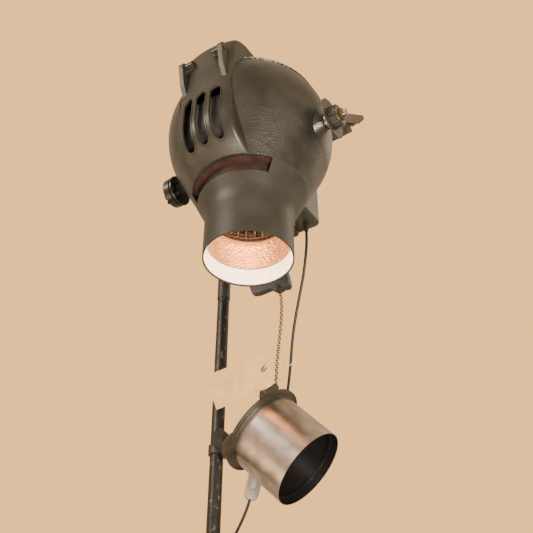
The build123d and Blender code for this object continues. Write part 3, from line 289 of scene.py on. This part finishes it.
def bore_mask(tree, place, centre, way, radius):
    """One inside a cylinder given by a point on its axis, the axis and a radius."""
    offset = vector_step(tree, "SUBTRACT", place.outputs["Object"], centre)
    across = vector_step(tree, "CROSS_PRODUCT", offset.outputs["Vector"], way)
    reach = vector_step(tree, "LENGTH", across.outputs["Vector"])
    return spread(tree, reach.outputs["Value"], start=(radius + BORE_EDGE, radius - BORE_EDGE))


def shade(name, dark, light, rough, metal=0.0, grain=60, stretch=(1, 1, 1), bump=0.1, bump_scale=900,
          bump_distance=0.0004, coat=0.0, flecks=None, fleck_at=0.6, glow=None, cells=False,
          painted_shade_way=None, painted_shade_bore=None):
    """A paint, metal or plastic: two tones in a noise, uneven gloss and a fine surface.

    painted_shade_way is a direction whose faces are painted nearly black as shade. bore is an axis
    point, an axis direction and a radius, all in the piece's own frame, inside which the piece is
    painted matt black as shade.
    """
    material = bpy.data.materials.new(name)
    material.use_nodes = True
    tree = material.node_tree
    nodes = tree.nodes
    link = tree.links.new
    shader = nodes["Principled BSDF"]
    shader.inputs["Metallic"].default_value = metal
    shader.inputs["Coat Weight"].default_value = coat
    shader.inputs["Coat Roughness"].default_value = COAT_ROUGH
    place = nodes.new("ShaderNodeTexCoord")
    mapping = nodes.new("ShaderNodeMapping")
    mapping.inputs["Scale"].default_value = stretch
    link(place.outputs["Object"], mapping.inputs["Vector"])

    colour = ramp(tree, noise(tree, mapping, grain), TONE_SPAN, dark, light)
    if flecks:
        span = (fleck_at, fleck_at + FLECK_EDGE)
        spots = noise(tree, mapping, grain * FLECK_GRAIN, FLECK_DETAIL)
        worn = ramp(tree, spots, span, (0, 0, 0), (1, 1, 1))
        colour = towards(tree, worn, colour, flecks)
    # Painted shade: the faces that look along this direction are painted near-black.
    if painted_shade_way:
        colour = towards(tree, facing_mask(tree, place, painted_shade_way), colour, UNLIT)
    # Painted shade: inside the bore the piece is painted matt black, with no metal.
    if painted_shade_bore:
        inside = bore_mask(tree, place, *painted_shade_bore)
        colour = towards(tree, inside, colour, UNLIT)
        link(spread(tree, inside, end=(metal, 0.0)), shader.inputs["Metallic"])
    link(colour, shader.inputs["Base Color"])

    gloss = (max(rough - GLOSS_DOWN, GLOSS_LEAST), rough + GLOSS_UP)
    link(spread(tree, noise(tree, mapping, grain * GLOSS_GRAIN), end=gloss), shader.inputs["Roughness"])
    relief = nodes.new("ShaderNodeBump")
    relief.inputs["Strength"].default_value = bump
    relief.inputs["Distance"].default_value = bump_distance
    if cells:
        texture = nodes.new("ShaderNodeTexVoronoi")
        texture.feature = "SMOOTH_F1"
        texture.inputs["Scale"].default_value = bump_scale
        link(mapping.outputs["Vector"], texture.inputs["Vector"])
        link(texture.outputs["Distance"], relief.inputs["Height"])
    else:
        link(noise(tree, mapping, bump_scale, BUMP_DETAIL), relief.inputs["Height"])
    link(relief.outputs["Normal"], shader.inputs["Normal"])
    if glow:
        shader.inputs["Emission Color"].default_value = (*glow[0], 1)
        shader.inputs["Emission Strength"].default_value = glow[1]
    return material


def paints():
    """The painted pieces' finishes by name."""
    made = {}
    made["housing"] = shade(
        "housing_paint", (0.060, 0.058, 0.048), (0.100, 0.096, 0.080), 0.30,
        metal=0.75, grain=22, bump=0.8, bump_scale=330, bump_distance=0.0009,
    )
    made["cone"] = shade(
        "cone_paint", (0.034, 0.031, 0.023), (0.055, 0.051, 0.039), 0.44,
        metal=0.35, grain=18, bump=0.12, bump_scale=600,
    )
    made["hood"] = shade(
        "hood_paint", (0.040, 0.037, 0.027), (0.064, 0.058, 0.043), 0.38,
        metal=0.5, grain=20, bump=0.35, bump_scale=420, bump_distance=0.0006,
    )
    made["baffle"] = shade(
        "baffle_sheet", (0.006, 0.006, 0.005), (0.020, 0.018, 0.014), 0.6,
        grain=60, bump=0.6, bump_scale=260, bump_distance=0.0010,
    )
    # The bow's underside is painted near-black as shade, through the facing mask.
    made["bow"] = shade(
        "bow_paint", (0.060, 0.042, 0.021), (0.095, 0.068, 0.035), 0.55,
        metal=0.15, grain=24, bump=0.18, bump_scale=600, painted_shade_way=INWARD,
    )
    made["olive"] = shade(
        "olive_paint", (0.030, 0.028, 0.020), (0.056, 0.051, 0.038), 0.42,
        metal=0.4, grain=40, bump=0.15, bump_scale=700,
    )
    made["black"] = shade(
        "black_paint", (0.014, 0.013, 0.011), (0.030, 0.027, 0.021), 0.42,
        grain=30, bump=0.15, bump_scale=500,
    )
    made["column"] = shade(
        "column_paint", (0.004, 0.003, 0.002), (0.008, 0.006, 0.004), 0.40,
        grain=95, stretch=(1.0, 1.0, 0.55), bump=0.5, bump_scale=260, bump_distance=0.0008,
        flecks=(0.085, 0.050, 0.020), fleck_at=0.60,
    )
    made["inner"] = shade(
        "inner_dark", (0.020, 0.007, 0.004), (0.050, 0.017, 0.010), 0.6,
        grain=70, bump=0.3, bump_scale=500,
    )
    made["flange"] = shade(
        "flange_paint", (0.040, 0.034, 0.023), (0.070, 0.060, 0.041), 0.42,
        metal=0.4, grain=35, bump=0.15, bump_scale=700,
    )
    return made


def metals():
    """The bare metals' finishes by name."""
    made = {}
    made["steel"] = shade(
        "worn_steel", (0.20, 0.185, 0.16), (0.42, 0.39, 0.34), 0.34,
        metal=1.0, grain=120, bump=0.12, bump_scale=1500,
    )
    made["chain"] = shade(
        "chain_wire", (0.035, 0.029, 0.020), (0.15, 0.12, 0.070), 0.36,
        metal=0.9, grain=260, bump=0.1, bump_scale=1500,
    )
    made["dark_steel"] = shade(
        "dark_steel", (0.05, 0.045, 0.036), (0.10, 0.09, 0.075), 0.4,
        metal=0.9, grain=90, bump=0.15, bump_scale=900,
    )
    # The tube's bore is painted matt black as shade.
    made["aluminium"] = shade(
        "brushed_aluminium", (0.40, 0.33, 0.28), (0.66, 0.57, 0.50), 0.30,
        metal=1.0, grain=42, bump=0.10, bump_scale=1400, painted_shade_bore=(at(*TUBE_FROM), TUBE_WAY, TUBE_BORE),
    )
    # Painted glow: the liner is no lamp, but its emission paints the bulb's light on it.
    made["liner"] = shade(
        "liner_metal_painted_glow", (0.90, 0.64, 0.52), (1.0, 0.84, 0.74), 0.42,
        metal=0.35, grain=40, bump=0.05, bump_scale=800, glow=((1.0, 0.80, 0.58), 3.0),
    )
    # Painted glow: the sleeve is no lamp, but its faint emission paints warm light on it.
    made["gold"] = shade(
        "hammered_sleeve_painted_glow", (0.78, 0.34, 0.13), (0.98, 0.62, 0.33), 0.34,
        metal=0.6, grain=90, bump=0.9, bump_scale=330, bump_distance=0.0012, cells=True,
        glow=((1.0, 0.42, 0.14), 0.35),
    )
    made["reflector"] = shade(
        "reflector_metal", (0.84, 0.74, 0.58), (0.93, 0.86, 0.72), 0.16,
        metal=1.0, grain=50, bump=0.03, bump_scale=600,
    )
    made["brass"] = shade(
        "dull_brass", (0.11, 0.085, 0.040), (0.22, 0.17, 0.09), 0.40,
        metal=0.9, grain=110, bump=0.1, bump_scale=900,
    )
    return made


def other_stuffs():
    """The finishes of plastic, rubber, card, string, ceramic and glass by name."""
    made = {}
    made["fibre"] = shade(
        "fibre_washer", (0.15, 0.070, 0.018), (0.27, 0.13, 0.038), 0.6,
        grain=220, bump=0.2, bump_scale=1500,
    )
    made["bakelite"] = shade(
        "bakelite", (0.006, 0.005, 0.005), (0.014, 0.012, 0.010), 0.26,
        grain=60, bump=0.05, bump_scale=500, coat=0.3,
    )
    made["brown"] = shade(
        "brown_phenolic", (0.018, 0.009, 0.005), (0.036, 0.018, 0.010), 0.26,
        grain=60, bump=0.06, bump_scale=500, coat=0.3,
    )
    made["ceramic"] = shade(
        "ceramic", (0.62, 0.58, 0.50), (0.76, 0.73, 0.66), 0.45,
        grain=80, bump=0.1, bump_scale=900,
    )
    made["rubber"] = shade(
        "cord_rubber", (0.006, 0.006, 0.005), (0.013, 0.012, 0.010), 0.50,
        grain=220, bump=0.2, bump_scale=1800,
    )
    made["switch"] = shade(
        "switch_plastic", (0.33, 0.29, 0.235), (0.40, 0.36, 0.295), 0.42,
        grain=90, bump=0.08, bump_scale=1200,
    )
    made["rocker"] = shade(
        "rocker_plastic", (0.47, 0.43, 0.36), (0.55, 0.50, 0.42), 0.36,
        grain=90, bump=0.06, bump_scale=1200,
    )
    made["tie"] = shade(
        "tie_plastic", (0.012, 0.012, 0.011), (0.022, 0.021, 0.019), 0.42,
        grain=90, bump=0.1, bump_scale=900,
    )
    made["manila"] = shade(
        "manila_card", (0.70, 0.40, 0.15), (0.78, 0.48, 0.20), 0.75,
        grain=45, bump=0.10, bump_scale=1400,
    )
    made["string"] = shade(
        "cotton_string", (0.55, 0.46, 0.35), (0.78, 0.68, 0.54), 0.85,
        grain=900, bump=0.5, bump_scale=2500,
    )
    made["bulb"] = shade(
        "lit_glass", (0.95, 0.82, 0.62), (1.0, 0.92, 0.78), 0.2,
        grain=60, bump=0.02, glow=((1.0, 0.60, 0.30), 60.0),
    )
    return made


FINISH = {
    "housing": ("upper_housing", "top_cap", "rear_box", "rear_cover"),
    "cone": ("snout_shell",),
    "hood": ("hood_cover", "hood_lugs"),
    "baffle": ("vent_baffle",),
    "bow": ("bow",),
    "olive": ("friction_disc", "ring_nut", "clip_box"),
    "black": ("column_sleeve", "hanger_bracket", "column_elbow", "bow_hub"),
    "column": ("column_tube",),
    "steel": ("arm_tube", "right_stud", "left_stud", "tube_rivets",
              "cover_screws", "switch_bush", "reflector_posts"),
    "dark_steel": ("bow_bolts", "column_screws"),
    "chain": ("chain", "chain_clasp"),
    "aluminium": ("tube_body",),
    "liner": ("snout_liner",),
    "gold": ("reflector_sleeve",),
    "reflector": ("reflector_bowl",),
    "inner": ("carrier_ring", "bar_cage"),
    "flange": ("tube_flange",),
    "brass": ("end_washer", "bulb_cap", "plug_pins"),
    "fibre": ("tag_eyelet",),
    "bakelite": ("left_pad", "arm_end_cap", "clamp_knob"),
    "brown": ("switch_knob",),
    "ceramic": ("lamp_socket", "terminal_block"),
    "rubber": ("cord_gland", "plug_body", "lamp_leads"),
    "switch": ("inline_back", "inline_front"),
    "rocker": ("switch_rocker",),
    "tie": ("hank_tie",),
    "manila": ("hang_tag",),
    "string": ("tag_string",),
    "bulb": ("bulb_glass",),
}


def paint(piece, material):
    """Gives a piece one material."""
    piece.data.materials.clear()
    piece.data.materials.append(material)


materials = {**paints(), **metals(), **other_stuffs()}
for finish, names in FINISH.items():
    for name in names:
        paint(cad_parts[name], materials[finish])

# ---------------------------------------------------------------- the cord as one piece
curve = curve_object("mains_cord", cord_points(), CORD_D)
cord_line = curve_line(curve)
cord = as_mesh(curve)
paint(cord, materials["rubber"])
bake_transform(cord)
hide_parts("cord_run", "cord_lower", "cord_tail", "cord_hank")


# ---------------------------------------------------------------- floor and light
def flat_sheet(name, middle, side, rise):
    """A flat four-cornered sheet, reaching side and rise each way from its middle."""
    corners = [middle + side * x + rise * y for x, y in ((-1, -1), (1, -1), (1, 1), (-1, 1))]
    mesh = bpy.data.meshes.new(name)
    mesh.from_pydata(corners, [], [(0, 1, 2, 3)])
    sheet = bpy.data.objects.new(name, mesh)
    bpy.context.collection.objects.link(sheet)
    return sheet


def add_floor():
    """A plain pale floor, some way below the column's lower end."""
    middle = Vector((0, 0, FLOOR_Z))
    floor = flat_sheet("floor", middle, Vector((FLOOR_HALF, 0, 0)), Vector((0, FLOOR_HALF, 0)))
    paint(floor, shade("floor_paint", (0.66, 0.60, 0.52), (0.72, 0.66, 0.58), 0.7, grain=3, bump=0.05))


def add_backdrop():
    """A large plain wall far behind the lamp, evenly lit."""
    normal = Vector(BACKDROP_WAY).normalized()
    side = normal.cross(Vector((0, 0, 1))).normalized()
    rise = side.cross(normal)
    wall = flat_sheet("backdrop", Vector(BACKDROP_MIDDLE), side * BACKDROP_HALF, rise * BACKDROP_HALF)
    finish = shade(
        "backdrop_paint", (0.0, 0.0, 0.0), (0.01, 0.008, 0.006), 0.9,
        grain=1, bump=0.02, glow=(BACKDROP, 1.0),
    )
    paint(wall, finish)
    wall.visible_shadow = False
    wall.visible_diffuse = False
    wall.visible_glossy = False


def add_light(name, place, aim, size, power, colour):
    """A soft round light at a place, pointing at a point."""
    data = bpy.data.lights.new(name, "AREA")
    data.shape = "DISK"
    data.size = size
    data.energy = power
    data.color = colour
    lamp = bpy.data.objects.new(name, data)
    lamp.location = place
    lamp.rotation_euler = (Vector(aim) - Vector(place)).to_track_quat("-Z", "Y").to_euler()
    bpy.context.collection.objects.link(lamp)


def add_world():
    """A dim warm sky all round."""
    world = bpy.data.worlds.new("studio")
    world.use_nodes = True
    sky = world.node_tree.nodes["Background"]
    sky.inputs["Color"].default_value = (*WORLD, 1)
    sky.inputs["Strength"].default_value = 1.0
    bpy.context.scene.world = world


add_floor()
add_backdrop()
add_world()
for light in LIGHTS:
    add_light(*light)
